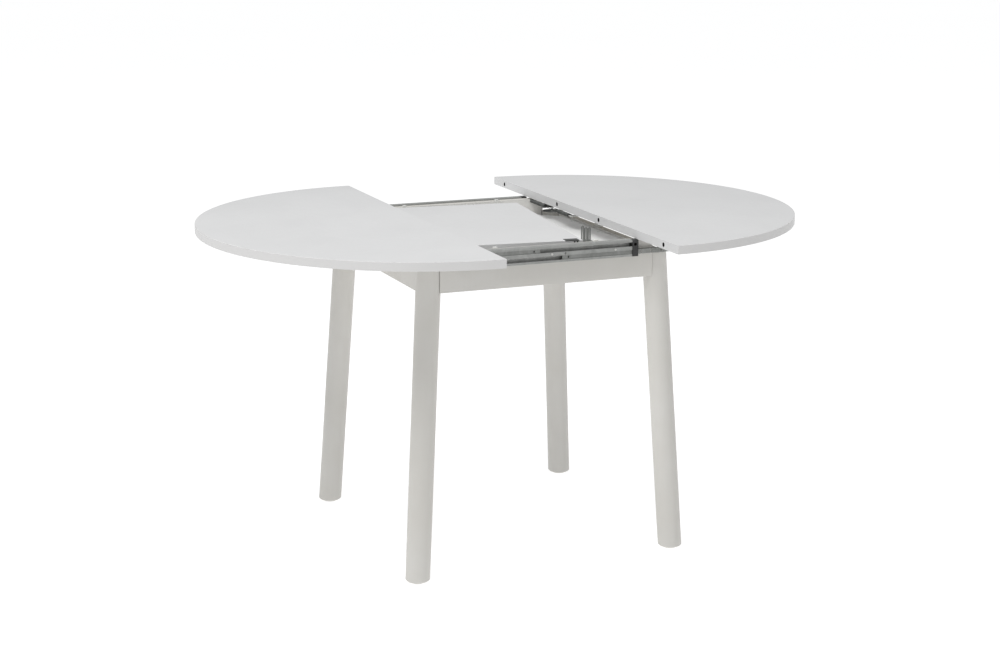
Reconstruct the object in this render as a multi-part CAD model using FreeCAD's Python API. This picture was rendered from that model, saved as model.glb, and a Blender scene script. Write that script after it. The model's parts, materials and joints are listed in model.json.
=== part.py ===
import FreeCAD, Part
import math
import os
from FreeCAD import Rotation, Vector

# An extendable round dining table, drawn open with its folded leaf in the frame.
# Millimetres. X runs along the table's extension, Y from front to rear, Z up.
# The origin is on the floor, under the middle of the open top.

# Driving dimensions of the whole table
TABLE_HEIGHT = 740.0
TOP_RADIUS = 500.0
TOP_THICKNESS = 18.8
OPEN_GAP = 390.0
BASE_X = -10.8            # middle of the base: one half is drawn out further than the other

TOP_UNDERSIDE = TABLE_HEIGHT - TOP_THICKNESS
HALF_GAP = OPEN_GAP / 2

# Edge bands and alignment dowels of the top
BAND_THICKNESS = 1.5
BAND_ROUNDING = 0.8
DOWEL_RADIUS = 4.0
DOWEL_CLEARANCE = 0.05
DOWEL_PROUD = 12.0
DOWEL_BURIED = 20.0
DOWEL_HOLE_DEPTH = 16.0
DOWEL_PLACES = (114.0, 433.0)
DOWEL_HEIGHT = TABLE_HEIGHT - TOP_THICKNESS / 2
BUSH_RADIUS = 5.0

# Splayed legs: the axis at the floor and at the leg's top, from the base's middle
LEG_RADIUS = 27.0
LEG_FOOT = (307.4, 305.9)
LEG_HEAD = (266.4, 272.6)
LEG_TOP = 685.3
GLIDE_HEIGHT = 4.0
GLIDE_RADIUS = 17.0
GLIDE_STEM_RADIUS = 4.0
GLIDE_STEM_LENGTH = 22.0
FOOT_CHAMFER = 3.0

# Aprons
APRON_BOTTOM = 633.0
APRON_LONG_OUTER = 296.0
APRON_LONG_TOP = 717.0
APRON_LONG_HALF = 262.0
APRON_THICKNESS = 18.0
APRON_SIDE_OUTER = 289.0
APRON_SIDE_TOP = 685.3
LEG_JOINT_GAP = 0.15      # side aprons to legs
LEG_JOINT_OPEN = 1.4       # long aprons to legs, where a dark joint shows

# Two-track ball slides on the outer faces of the long aprons
RAIL_HALF_LENGTH = 193.0
RAIL_BOTTOM = 684.0
RAIL_WALL = 2.0
RAIL_DEPTH = 16.4
TRACK_HEIGHT = 15.15
RAIL_LIP = 1.0
RAIL_LIP_DROP = 3.0
RAIL_SCREW_RADIUS = 0.9
RAIL_SCREW_HEAD = 2.6
RAIL_SCREWS_X = (-152.0, 1.0, 152.0)
RAIL_SLOT_X = 33.0
RUNNER_HEIGHT = 10.0
RUNNER_WALL = 1.6
RUNNER_NEAR = 4.5         # the runner's back edges and its face, from the apron
RUNNER_FAR = 15.0
RUNNER_INNER_END = 26.0
RUNNER_OUTER_END = 480.0
BALL_RADIUS = 1.25
BALL_DEPTH = 9.0
BALLS_PER_ROW = 5
CAGE_LENGTH = 110.0
CAGE_WALL = 0.6
CAGE_BACK = 2.4
CAGE_FRONT = 12.0
CAGE_CENTRE = 100.0
STOP_LENGTH = 14.0
STOP_GAP = 0.5
PAD_SIZE = (8.0, 6.0, 9.6)
PAD_PLACES = (-118.0, 120.0)

# What joins each half of the top to its two runners
BLOCK_START = 414.0
BLOCK_END = 478.0
BATTEN_WIDTH = 26.0
BATTEN_THICKNESS = 18.0
BATTEN_START = 488.0
BATTEN_REACH = 230.0
PANEL_SCREW_BITE = 12.0
SCREW_RADIUS = 2.0
SCREW_HEAD_RADIUS = 3.6

# Storage floor and its cleats
FLOOR_TOP = 680.5
FLOOR_THICKNESS = 14.0
FLOOR_CORNER = 64.0
CLEAT_SIZE = (20.0, 340.0, 18.0)

# Steel at the corners
PLATE_THICKNESS = 2.0
PLATE_RADIUS = 24.0
PLATE_STRIP_START = 200.0
PLATE_LEG_SCREW = 23.0
PLATE_LEG_SCREW_RADIUS = 2.5
BRACKET_SPAN = 78.0
BRACKET_THICKNESS = 3.0
BRACKET_BOTTOM = 638.0
BRACKET_HEIGHT = 24.0
BRACKET_FLANGE = 20.0
HANGER_RADIUS = 4.0
HANGER_WASHER_RADIUS = 11.0
HANGER_NUT_RADIUS = 7.5
HANGER_NUT_HEIGHT = 6.5

# Folded leaf, turned a little on its pivot
PAGE_WIDTH = 389.0
PAGE_LENGTH = 500.0
PAGE_THICKNESS = 17.2
PAGE_GAP = 0.3
LEAF_BOTTOM = 685.6
LEAF_PIVOT = (-71.9, -0.9)
LEAF_TURN = -6.6
HINGE_PLACE = 171.0
HINGE_PLATE = (32.0, 20.0, 2.0)
HINGE_PLATE_SUNK = 1.7
HINGE_KNUCKLE = 3.2
HINGE_PIN_RADIUS = 1.5
HINGE_BARREL_RADIUS = 3.0
HINGE_BARREL_OFFSET = 3.6
PIVOT_RADIUS = 4.0
PIVOT_DISC_RADIUS = 30.0

# Two tension springs hooked together in line, under the right half's straight edge
SPRING_X = 207.0
SPRING_HEIGHT = 714.6
SPRING_RADIUS = 4.8
SPRING_WIRE = 1.3
SPRING_REAR_COIL = (184.0, 266.0)
SPRING_FRONT_COIL = (44.0, 106.0)
SPRING_MEETING = 145.0
SPRING_EYE_RADIUS = 2.6
SPRING_EYE_WIRE = 1.0
SPRING_EYE_SHANK = 11.0
SPRING_BRACKET_Y = 36.0
SPRING_BRACKET_WIDTH = 15.0
SPRING_BRACKET_THICKNESS = 2.0

# Bracket with upright loops beside the leaf
KEEPER_PLACE = (176.0, -103.0)
KEEPER_PLATE = (40.0, 20.0, 1.5)
KEEPER_LOOP_WIDTH = 7.0
KEEPER_LOOP_WIRE = 2.4
KEEPER_PITCH = 8.3
KEEPER_LOOP_TOPS = (719.4, 715.6, 715.0)

X_AXIS = Vector(1, 0, 0)
Y_AXIS = Vector(0, 1, 0)
Z_AXIS = Vector(0, 0, 1)
ORIGIN = Vector(0, 0, 0)
SIDES = {"left": -1, "right": 1}
ENDS = {"front": -1, "rear": 1}


def box(low, high):
    """A box between two corners."""
    corner = Vector(*[min(a, b) for a, b in zip(low, high)])
    size = [abs(b - a) for a, b in zip(low, high)]
    return Part.makeBox(size[0], size[1], size[2], corner)


def mirror(shape, side, end):
    """A shape drawn at +X +Y, moved to the given side and end."""
    result = shape
    if side < 0:
        result = result.mirror(ORIGIN, X_AXIS)
    if end < 0:
        result = result.mirror(ORIGIN, Y_AXIS)
    return result


def both_ends(shape):
    """The rear shape and its mirror image at the front."""
    return [mirror(shape, 1, 1), mirror(shape, 1, -1)]


def at_base(shape):
    """Moves a shape from the base's own middle to its place."""
    return shape.translated(Vector(BASE_X, 0, 0))


def leg_point(height):
    """The +X +Y leg's axis at a height."""
    share = height / LEG_TOP
    return Vector(LEG_FOOT[0] + share * (LEG_HEAD[0] - LEG_FOOT[0]),
                  LEG_FOOT[1] + share * (LEG_HEAD[1] - LEG_FOOT[1]), height)


def leg_rod(radius, bottom, top):
    """A round bar on the leg's axis, cut level at both ends."""
    reach = 40.0
    start = leg_point(bottom - reach)
    end = leg_point(top + reach)
    bar = Part.makeCylinder(radius, start.distanceToPoint(end), start, end - start)
    slab = box((0, 0, bottom), (500, 500, top))
    return bar.common(slab)


def inner_corner_direction():
    """Level direction from a leg towards the middle of the table."""
    return Vector(-1, -1, 0).normalize()


def hanger_axis():
    """Start point of the hanger bolt inside the leg and its direction."""
    height = BRACKET_BOTTOM + BRACKET_HEIGHT / 2
    return leg_point(height), inner_corner_direction()


def screw(head, axis, length, radius=SCREW_RADIUS, head_radius=SCREW_HEAD_RADIUS):
    """A slotted round-headed screw: head is where the shank leaves the head, axis the way it bores."""
    thickness = head_radius * 0.55
    shank = Part.makeCylinder(radius, length, head, axis)
    face = head - axis * thickness
    cap = Part.makeCylinder(head_radius, thickness, face, axis)
    outer_rim = [edge for edge in cap.Edges
                 if isinstance(edge.Curve, Part.Circle) and edge.Curve.Center.distanceToPoint(face) < 0.01]
    cap = cap.makeFillet(thickness * 0.6, outer_rim)
    slot_width = head_radius * 0.28
    slot = Part.makeBox(head_radius * 4, slot_width, thickness, Vector(-head_radius * 2, -slot_width / 2, 0))
    slot.Placement = FreeCAD.Placement(face - axis * (thickness * 0.5), Rotation(Z_AXIS, axis))
    return shank.fuse(cap).cut(slot).removeSplitter()


def sunk_screw(top, length, radius=SCREW_RADIUS):
    """A countersunk screw bored straight down, its head level with top."""
    depth = radius * 0.8
    head = Part.makeCone(radius * 1.8, radius, depth, top, Vector(0, 0, -1))
    shank = Part.makeCylinder(radius, length, top, Vector(0, 0, -1))
    cross = Part.makeBox(radius * 2, radius * 0.5, radius, top - Vector(radius, radius * 0.25, radius * 0.5))
    return head.fuse(shank).cut(cross).removeSplitter()


def sunk_hole(top, length, radius=SCREW_RADIUS):
    """The hole that a countersunk screw sits in."""
    room = 0.05
    depth = radius * 0.8
    head = Part.makeCone(radius * 1.8 + room, radius + room, depth + room, top, Vector(0, 0, -1))
    shank = Part.makeCylinder(radius + room, length + 1, top, Vector(0, 0, -1))
    return head.fuse(shank)


def hole(start, axis, length, radius=SCREW_RADIUS):
    """A hole with a little room round a bar of the given radius."""
    return Part.makeCylinder(radius + 0.05, length, start, axis)


# The top's halves, drawn as the right half with its straight edge on X = 0

def half_disc(radius, low, high):
    """Half a round plate on the +X side."""
    plate = Part.makeCylinder(radius, high - low, Vector(0, 0, low), Z_AXIS, 180)
    return plate.rotated(ORIGIN, Z_AXIS, -90)


def top_panel(side):
    """The half-round panel, without its edge band."""
    panel = half_disc(TOP_RADIUS - BAND_THICKNESS, TOP_UNDERSIDE, TABLE_HEIGHT)
    for place in DOWEL_PLACES:
        for end in (-1, 1):
            start = Vector(0, end * place, DOWEL_HEIGHT)
            if side > 0:
                panel = panel.cut(hole(start, X_AXIS, DOWEL_HOLE_DEPTH, BUSH_RADIUS))
            else:
                panel = panel.cut(hole(start, X_AXIS, DOWEL_BURIED, DOWEL_RADIUS))
    for head in block_screw_places() + batten_screw_places():
        start = Vector(head.x + BASE_X * side - HALF_GAP, head.y, TOP_UNDERSIDE - 1)
        panel = panel.cut(hole(start, Z_AXIS, PANEL_SCREW_BITE + 2))
    panel = panel.translated(Vector(HALF_GAP, 0, 0))
    return mirror(panel, side, 1)


def edge_band(side):
    """The band round the half's curved edge, with softened corners."""
    outer = half_disc(TOP_RADIUS, TOP_UNDERSIDE, TABLE_HEIGHT)
    rim = [edge for edge in outer.Edges
           if isinstance(edge.Curve, Part.Circle) and abs(edge.Curve.Radius - TOP_RADIUS) < 0.01]
    outer = outer.makeFillet(BAND_ROUNDING, rim)
    inner = half_disc(TOP_RADIUS - BAND_THICKNESS, TOP_UNDERSIDE - 1, TABLE_HEIGHT + 1)
    band = outer.cut(inner).translated(Vector(HALF_GAP, 0, 0))
    return mirror(band, side, 1)


def dowel(length_buried, length_proud, radius):
    """A dowel on the X axis with a rounded nose towards -X."""
    peg = Part.makeCylinder(radius, length_buried + length_proud, Vector(-length_proud, 0, 0), X_AXIS)
    nose = [edge for edge in peg.Edges if abs(edge.BoundBox.XMax + length_proud) < 0.01]
    return peg.makeChamfer(1.2, nose)


def left_dowels():
    """Four dowels that stand out of the left half's straight edge."""
    pegs = []
    for place in DOWEL_PLACES:
        for end in (-1, 1):
            peg = dowel(DOWEL_BURIED - 1, DOWEL_PROUD, DOWEL_RADIUS)
            peg = peg.translated(Vector(HALF_GAP, end * place, DOWEL_HEIGHT))
            pegs.append(peg.mirror(ORIGIN, X_AXIS))
    return pegs


def right_bushes():
    """Four bushes in the right half's straight edge that take the dowels."""
    bushes = []
    for place in DOWEL_PLACES:
        for end in (-1, 1):
            start = Vector(HALF_GAP, end * place, DOWEL_HEIGHT)
            outer = Part.makeCylinder(BUSH_RADIUS, DOWEL_HOLE_DEPTH - 1, start, X_AXIS)
            inner = Part.makeCylinder(DOWEL_RADIUS + DOWEL_CLEARANCE, DOWEL_HOLE_DEPTH - 2, start, X_AXIS)
            bushes.append(outer.cut(inner))
    return bushes


# Runner heights: the left half runs in the upper track, the right half in the lower one

def track_bottom(side):
    """Lowest level inside the side's track."""
    if side > 0:
        return RAIL_BOTTOM + RAIL_WALL
    return RAIL_BOTTOM + 2 * RAIL_WALL + TRACK_HEIGHT


def runner_bottom(side):
    """Lowest level of the side's runner."""
    return track_bottom(side) + (TRACK_HEIGHT - RUNNER_HEIGHT) / 2


RAIL_TOP = RAIL_BOTTOM + 3 * RAIL_WALL + 2 * TRACK_HEIGHT


def block_screw_places():
    """Where screws pass from the rear and front runners up into the top."""
    places = []
    for x in (BLOCK_START + 12, BLOCK_END - 12):
        for end in (-1, 1):
            y = end * (APRON_LONG_OUTER + (RUNNER_NEAR + RUNNER_FAR) / 2 - 0.8)
            places.append(Vector(x, y, TOP_UNDERSIDE - 40))
    return places


def batten_screw_places():
    """Where screws pass through the batten into the top."""
    x = BATTEN_START + BATTEN_WIDTH / 2
    return [Vector(x, y, TOP_UNDERSIDE - 40) for y in (-200.0, -70.0, 70.0, 200.0)]


def panel_screws(side):
    """Screws that hold the runner blocks and the batten to the panel."""
    screws = []
    flange_under = runner_bottom(side) + RUNNER_HEIGHT - RUNNER_WALL
    for place in block_screw_places():
        head = Vector(place.x, place.y, flange_under)
        screws.append(screw(head, Z_AXIS, TOP_UNDERSIDE + PANEL_SCREW_BITE - flange_under))
    for place in batten_screw_places():
        head = Vector(place.x, place.y, TOP_UNDERSIDE - BATTEN_THICKNESS)
        screws.append(screw(head, Z_AXIS, BATTEN_THICKNESS + PANEL_SCREW_BITE))
    return [at_base(mirror(item, side, 1)) for item in screws]


def runner(side, end):
    """A channel that slides in its track, open towards the apron."""
    bottom = runner_bottom(side)
    near = APRON_LONG_OUTER + RUNNER_NEAR
    far = APRON_LONG_OUTER + RUNNER_FAR
    top = bottom + RUNNER_HEIGHT
    body = box((RUNNER_INNER_END, near, bottom), (RUNNER_OUTER_END, far, top))
    hollow = box((RUNNER_INNER_END - 1, near - 1, bottom + RUNNER_WALL),
                 (RUNNER_OUTER_END + 1, far - RUNNER_WALL, top - RUNNER_WALL))
    body = body.cut(hollow)
    for place in block_screw_places():
        if place.y > 0:
            body = body.cut(hole(place, Z_AXIS, 60))
    slot_x = RUNNER_INNER_END + 13
    slot = box((slot_x, far - 3, bottom + 3), (slot_x + 3, far + 1, bottom + 7))
    body = body.cut(slot)
    for count in range(3):
        x = RUNNER_INNER_END + 190 + 24 * count
        body = body.cut(Part.makeCylinder(2.0, 6, Vector(x, far - 4, bottom + RUNNER_HEIGHT / 2), Y_AXIS))
    return at_base(mirror(body, side, end))


def runner_blocks(side):
    """Wooden blocks between the runners and the panel."""
    bottom = runner_bottom(side) + RUNNER_HEIGHT
    near = APRON_LONG_OUTER + 1
    far = APRON_LONG_OUTER + RUNNER_FAR
    block = box((BLOCK_START, near, bottom), (BLOCK_END, far, TOP_UNDERSIDE))
    for place in block_screw_places():
        if place.y > 0:
            block = block.cut(hole(place, Z_AXIS, 60))
    return [at_base(mirror(block, side, end)) for end in (1, -1)]


def batten(side):
    """A stiffening bar across the underside of the half, beyond the ends of its runners."""
    bar = box((BATTEN_START, -BATTEN_REACH, TOP_UNDERSIDE - BATTEN_THICKNESS),
              (BATTEN_START + BATTEN_WIDTH, BATTEN_REACH, TOP_UNDERSIDE))
    for place in batten_screw_places():
        bar = bar.cut(hole(place, Z_AXIS, 60))
    return at_base(mirror(bar, side, 1))


# Fixed rails

def rail_screw_places():
    """Where screws hold the rail's back wall to the apron, between the runners' paths."""
    height = RAIL_BOTTOM + RAIL_WALL + TRACK_HEIGHT + RAIL_WALL / 2
    return [Vector(x, APRON_LONG_OUTER + RAIL_DEPTH, height) for x in RAIL_SCREWS_X]


def slide_rail(end):
    """A steel section with two tracks that open outwards, one above the other."""
    near = APRON_LONG_OUTER
    far = near + RAIL_DEPTH
    half = RAIL_HALF_LENGTH
    rail = box((-half, near, RAIL_BOTTOM), (half, far, RAIL_TOP))
    for side in (-1, 1):
        bottom = track_bottom(side)
        top = bottom + TRACK_HEIGHT
        channel = box((-half - 1, near + RAIL_WALL, bottom), (half + 1, far - RAIL_LIP, top))
        mouth = box((-half - 1, far - RAIL_LIP - 1, bottom + RAIL_LIP_DROP),
                    (half + 1, far + 1, top - RAIL_LIP_DROP))
        rail = rail.cut(channel).cut(mouth)
    for place in rail_screw_places():
        rail = rail.cut(hole(place - Y_AXIS * RAIL_DEPTH, Y_AXIS, RAIL_DEPTH + 1, RAIL_SCREW_RADIUS))
    rib = rail_screw_places()[0].z
    slot = box((RAIL_SLOT_X - 1.5, far - RAIL_LIP - 0.5, rib - 2.4), (RAIL_SLOT_X + 1.5, far + 1, rib + 2.4))
    rail = rail.cut(slot)
    return at_base(mirror(rail.removeSplitter(), 1, end))


def rail_screws():
    """Screws through the rails' middle rib into the long aprons."""
    screws = []
    for place in rail_screw_places():
        item = screw(place, -Y_AXIS, RAIL_DEPTH + 14, RAIL_SCREW_RADIUS, RAIL_SCREW_HEAD)
        screws.extend(at_base(copy) for copy in both_ends(item))
    return screws


def rail_screw_holes(apron):
    """Bores the rail and stop screws' holes into a long apron drawn at +Y."""
    for place in rail_screw_places():
        apron = apron.cut(hole(place - Y_AXIS * (RAIL_DEPTH + 15), Y_AXIS, RAIL_DEPTH + 16, RAIL_SCREW_RADIUS))
    for side in (-1, 1):
        apron = apron.cut(hole(stop_screw_place(side) - Y_AXIS * 16, Y_AXIS, 17))
    return apron


def stop_screw_place(side):
    """Where the end stop's screw enters the apron: in the track that stays empty there."""
    x = side * (RAIL_HALF_LENGTH + STOP_LENGTH / 2)
    return Vector(x, APRON_LONG_OUTER, runner_bottom(-side) + RUNNER_HEIGHT / 2)


def end_stop(side):
    """A plastic end piece at the rear rail's end with a window for the runner."""
    inner = RAIL_HALF_LENGTH + 0.1
    outer = inner + STOP_LENGTH
    near = APRON_LONG_OUTER
    far = near + RAIL_DEPTH + 1
    block = box((inner, near, RAIL_BOTTOM), (outer, far, RAIL_TOP))
    bottom = runner_bottom(side) - STOP_GAP
    window = box((inner - 1, near + RUNNER_NEAR - STOP_GAP, bottom),
                 (outer + 1, near + RUNNER_FAR + STOP_GAP, bottom + RUNNER_HEIGHT + 2 * STOP_GAP))
    block = block.cut(window)
    head = stop_screw_place(1)
    head.z = stop_screw_place(side).z
    block = block.cut(hole(head, Y_AXIS, 40))
    block = block.cut(Part.makeCylinder(SCREW_HEAD_RADIUS + 0.1, 40, head + Y_AXIS * 6, Y_AXIS))
    if side < 0:
        block = block.mirror(ORIGIN, X_AXIS)
    return block


def end_stops():
    """The four end stops and where they stand."""
    return [at_base(copy) for side in (-1, 1) for copy in both_ends(end_stop(side))]


def end_stop_screws():
    """One screw through each end stop into the long apron."""
    screws = []
    for side in (-1, 1):
        item = screw(stop_screw_place(side) + Y_AXIS * 6, -Y_AXIS, 20)
        screws.extend(at_base(copy) for copy in both_ends(item))
    return screws


def glide_pads():
    """Pads on the long aprons' inner top edges that the halves slide over."""
    pads = []
    width, depth, height = PAD_SIZE
    apron_inner = APRON_LONG_OUTER - APRON_THICKNESS
    for x in PAD_PLACES:
        low = (x - width / 2, apron_inner - 2, APRON_LONG_TOP - 6)
        high = (x + width / 2, apron_inner + depth, TOP_UNDERSIDE - 0.3)
        pad = box(low, high)
        seat = box((x - width, apron_inner, APRON_LONG_TOP - 20), (x + width, apron_inner + 50, APRON_LONG_TOP))
        pads.extend(at_base(copy) for copy in both_ends(pad.cut(seat)))
    return pads


def row_heights(side):
    """The heights of the two rows of balls, under and over the runner."""
    bottom = track_bottom(side)
    gap = (TRACK_HEIGHT - RUNNER_HEIGHT) / 2
    return bottom + gap / 2, bottom + TRACK_HEIGHT - gap / 2


def ball_places(side):
    """Ball centres of a cage on the rear slide, drawn at +X."""
    pitch = CAGE_LENGTH / BALLS_PER_ROW
    places = []
    for height in row_heights(side):
        for count in range(BALLS_PER_ROW):
            x = CAGE_CENTRE + (count - (BALLS_PER_ROW - 1) / 2) * pitch
            places.append(Vector(x, APRON_LONG_OUTER + BALL_DEPTH, height))
    return places


def ball_cages(side):
    """The cages of a side: a folded strip behind the runner with a row of holes above and below."""
    low, high = row_heights(side)
    near = APRON_LONG_OUTER + CAGE_BACK
    far = APRON_LONG_OUTER + CAGE_FRONT
    half_wall = CAGE_WALL / 2
    start = CAGE_CENTRE - CAGE_LENGTH / 2
    finish = CAGE_CENTRE + CAGE_LENGTH / 2
    cage = box((start, near, low - half_wall), (finish, far, high + half_wall))
    cage = cage.cut(box((start - 1, near + CAGE_WALL, low + half_wall),
                        (finish + 1, far + 1, high - half_wall)))
    for centre in ball_places(side):
        cage = cage.cut(Part.makeCylinder(BALL_RADIUS + 0.08, 2, centre - Z_AXIS, Z_AXIS))
    return [at_base(mirror(cage, side, end)) for end in (1, -1)]


def balls(side):
    """The steel balls of a side's two cages."""
    spheres = [Part.makeSphere(BALL_RADIUS, centre) for centre in ball_places(side)]
    return [at_base(mirror(ball, side, end)) for end in (1, -1) for ball in spheres]


# Base frame

def leg(side, end):
    """A round leg, bored for its glide, its hanger bolt and the corner plate's screw."""
    body = leg_rod(LEG_RADIUS, GLIDE_HEIGHT, LEG_TOP)
    foot = [edge for edge in body.Edges if edge.BoundBox.ZMax < GLIDE_HEIGHT + 0.01]
    body = body.makeChamfer(FOOT_CHAMFER, foot)
    stem_centre = leg_point(GLIDE_HEIGHT)
    body = body.cut(hole(stem_centre, Z_AXIS, GLIDE_STEM_LENGTH + 1, GLIDE_STEM_RADIUS))
    start, direction = hanger_axis()
    body = body.cut(hole(start - direction * 12, direction, 80, HANGER_RADIUS))
    body = body.cut(plate_blank())
    body = body.cut(sunk_hole(plate_leg_screw_place(), PLATE_LEG_SCREW, PLATE_LEG_SCREW_RADIUS))
    return at_base(mirror(body, side, end))


def leg_glides():
    """Plastic glides under the legs, each with a stem pressed into its leg."""
    centre = leg_point(0)
    upper = leg_point(GLIDE_HEIGHT)
    disc = Part.makeCylinder(GLIDE_RADIUS, GLIDE_HEIGHT, Vector(upper.x, upper.y, 0), Z_AXIS)
    lower = [edge for edge in disc.Edges if edge.BoundBox.ZMax < centre.z + 0.01]
    disc = disc.makeFillet(1.2, lower)
    stem = Part.makeCylinder(GLIDE_STEM_RADIUS, GLIDE_HEIGHT + GLIDE_STEM_LENGTH,
                             Vector(upper.x, upper.y, 0), Z_AXIS)
    stem = stem.common(box((0, 0, 2), (500, 500, 100)))
    glide = disc.fuse(stem).removeSplitter()
    return [at_base(mirror(glide, side, end)) for side in (-1, 1) for end in (-1, 1)]


def leg_room(shape, gap):
    """Cuts a leg-shaped end into a shape that meets the legs."""
    cutter = leg_rod(LEG_RADIUS + gap, APRON_BOTTOM - 20, APRON_LONG_TOP + 10)
    for side in (-1, 1):
        for end in (-1, 1):
            shape = shape.cut(mirror(cutter, side, end))
    return shape


def long_apron(end):
    """The front or rear apron, which also carries a slide."""
    half = APRON_LONG_HALF
    inner = APRON_LONG_OUTER - APRON_THICKNESS
    apron = box((-half, inner, APRON_BOTTOM), (half, APRON_LONG_OUTER, APRON_LONG_TOP))
    apron = leg_room(apron, LEG_JOINT_OPEN)
    apron = rail_screw_holes(apron)
    for side in (-1, 1):
        for start, direction in bracket_screw_places():
            if abs(direction.y) > 0.5:
                apron = apron.cut(mirror(hole(start, direction, 16), side, 1))
    apron = mirror(apron, 1, end)
    if end > 0:
        apron = apron.cut(hole(spring_eye_place(), Y_AXIS, SPRING_EYE_SHANK, SPRING_EYE_WIRE))
    return at_base(apron)


def side_apron(side):
    """The low left or right apron."""
    inner = APRON_SIDE_OUTER - APRON_THICKNESS
    reach = LEG_HEAD[1] - 6
    apron = box((inner, -reach, APRON_BOTTOM), (APRON_SIDE_OUTER, reach, APRON_SIDE_TOP))
    apron = leg_room(apron, LEG_JOINT_GAP)
    for end in (-1, 1):
        apron = apron.cut(mirror(plate_blank(), 1, end))
        for start, direction in bracket_screw_places():
            if abs(direction.x) > 0.5:
                apron = apron.cut(mirror(hole(start, direction, 16), 1, end))
        for top in plate_screw_places():
            apron = apron.cut(mirror(sunk_hole(top, 26), 1, end))
    apron = mirror(apron, side, 1)
    if side > 0:
        for head in spring_bracket_screw_places():
            apron = apron.cut(hole(head, -Z_AXIS, 15))
    return at_base(apron)


def plate_leg_screw_place():
    """Where the corner plate is screwed to its leg."""
    return leg_point(LEG_TOP)


def plate_screw_places():
    """Where the corner plate's strip is screwed to the side apron."""
    x = APRON_SIDE_OUTER - APRON_THICKNESS / 2
    return [Vector(x, PLATE_STRIP_START + reach, APRON_SIDE_TOP) for reach in (10, 32)]


def plate_blank():
    """The corner plate before its holes: a disc on the leg's top and a strip on the side apron."""
    centre = leg_point(LEG_TOP)
    bottom = LEG_TOP - PLATE_THICKNESS
    disc = Part.makeCylinder(PLATE_RADIUS, PLATE_THICKNESS, Vector(centre.x, centre.y, bottom), Z_AXIS)
    inner = APRON_SIDE_OUTER - APRON_THICKNESS + 1
    strip = box((inner, PLATE_STRIP_START, bottom), (APRON_SIDE_OUTER - 2, centre.y, LEG_TOP))
    return disc.fuse(strip).removeSplitter()


def corner_plate(side, end):
    """A flat plate let in level with the top of the leg and of the side apron."""
    plate = plate_blank()
    plate = plate.cut(sunk_hole(plate_leg_screw_place(), PLATE_LEG_SCREW, PLATE_LEG_SCREW_RADIUS))
    for top in plate_screw_places():
        plate = plate.cut(sunk_hole(top, 26))
    return at_base(mirror(plate, side, end))


def corner_plate_screws():
    """Countersunk screws of the corner plates."""
    items = [sunk_screw(plate_leg_screw_place(), PLATE_LEG_SCREW, PLATE_LEG_SCREW_RADIUS)]
    items += [sunk_screw(top, 26) for top in plate_screw_places()]
    return [at_base(mirror(item, side, end)) for side in (-1, 1) for end in (-1, 1) for item in items]


def bracket_corners():
    """Where the diagonal bracket meets the long apron and the side apron, on their inner faces."""
    x = APRON_SIDE_OUTER - APRON_THICKNESS
    y = APRON_LONG_OUTER - APRON_THICKNESS
    return Vector(x - BRACKET_SPAN, y, 0), Vector(x, y - BRACKET_SPAN, 0)


def bracket_screw_places():
    """Screw heads on the bracket's two flanges and the way each screw bores."""
    on_long, on_side = bracket_corners()
    height = BRACKET_BOTTOM + BRACKET_HEIGHT / 2
    back = BRACKET_FLANGE / 2
    return [(Vector(on_long.x - back, on_long.y - BRACKET_THICKNESS, height), Y_AXIS),
            (Vector(on_side.x - BRACKET_THICKNESS, on_side.y - back, height), X_AXIS)]


def corner_bracket(side, end):
    """A bent steel strip across the corner, which the leg's hanger bolt pulls against."""
    on_long, on_side = bracket_corners()
    room = 0.02
    inset = BRACKET_THICKNESS
    points = [
        Vector(on_long.x - BRACKET_FLANGE, on_long.y - room, 0),
        Vector(on_long.x, on_long.y - room, 0),
        Vector(on_side.x - room, on_side.y, 0),
        Vector(on_side.x - room, on_side.y - BRACKET_FLANGE, 0),
        Vector(on_side.x - inset, on_side.y - BRACKET_FLANGE, 0),
        Vector(on_side.x - inset, on_side.y - inset * 0.41, 0),
        Vector(on_long.x - inset * 0.41, on_long.y - inset, 0),
        Vector(on_long.x - BRACKET_FLANGE, on_long.y - inset, 0),
    ]
    outline = Part.makePolygon(points + [points[0]])
    strip = Part.Face(outline).extrude(Z_AXIS * BRACKET_HEIGHT).translated(Z_AXIS * BRACKET_BOTTOM)
    start, direction = hanger_axis()
    strip = strip.cut(hole(start, direction, 120, HANGER_RADIUS))
    for head, way in bracket_screw_places():
        strip = strip.cut(hole(head - way * 2, way, 10))
    return at_base(mirror(strip, side, end))


def bracket_inner_face():
    """Distance along the hanger bolt from the leg's axis to the bracket's inner face."""
    start, direction = hanger_axis()
    on_long, on_side = bracket_corners()
    middle = (on_long + on_side) * 0.5
    middle.z = start.z
    return (middle - start).dot(direction) + BRACKET_THICKNESS


def corner_hardware():
    """The hanger bolts, and their nuts and washers, as two lists."""
    start, direction = hanger_axis()
    face = bracket_inner_face()
    bolt = Part.makeCylinder(HANGER_RADIUS, face + 24, start - direction * 12, direction)
    seat = start + direction * (face + 0.02)
    washer = Part.makeCylinder(HANGER_WASHER_RADIUS, 2, seat, direction)
    washer = washer.cut(hole(seat - direction, direction, 5, HANGER_RADIUS))
    nut = hexagon(HANGER_NUT_RADIUS, HANGER_NUT_HEIGHT)
    nut.Placement = FreeCAD.Placement(seat + direction * 2.02, Rotation(Z_AXIS, direction))
    nut = nut.cut(hole(seat, direction, 20, HANGER_RADIUS))
    bolts = [at_base(mirror(bolt, side, end)) for side in (-1, 1) for end in (-1, 1)]
    nuts = [at_base(mirror(item, side, end)) for side in (-1, 1) for end in (-1, 1) for item in (washer, nut)]
    return bolts, nuts


def hexagon(radius, height):
    """A hexagonal prism on the Z axis."""
    points = [Vector(radius * math.cos(math.radians(60 * count)),
                     radius * math.sin(math.radians(60 * count)), 0) for count in range(7)]
    return Part.Face(Part.makePolygon(points)).extrude(Z_AXIS * height)


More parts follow.
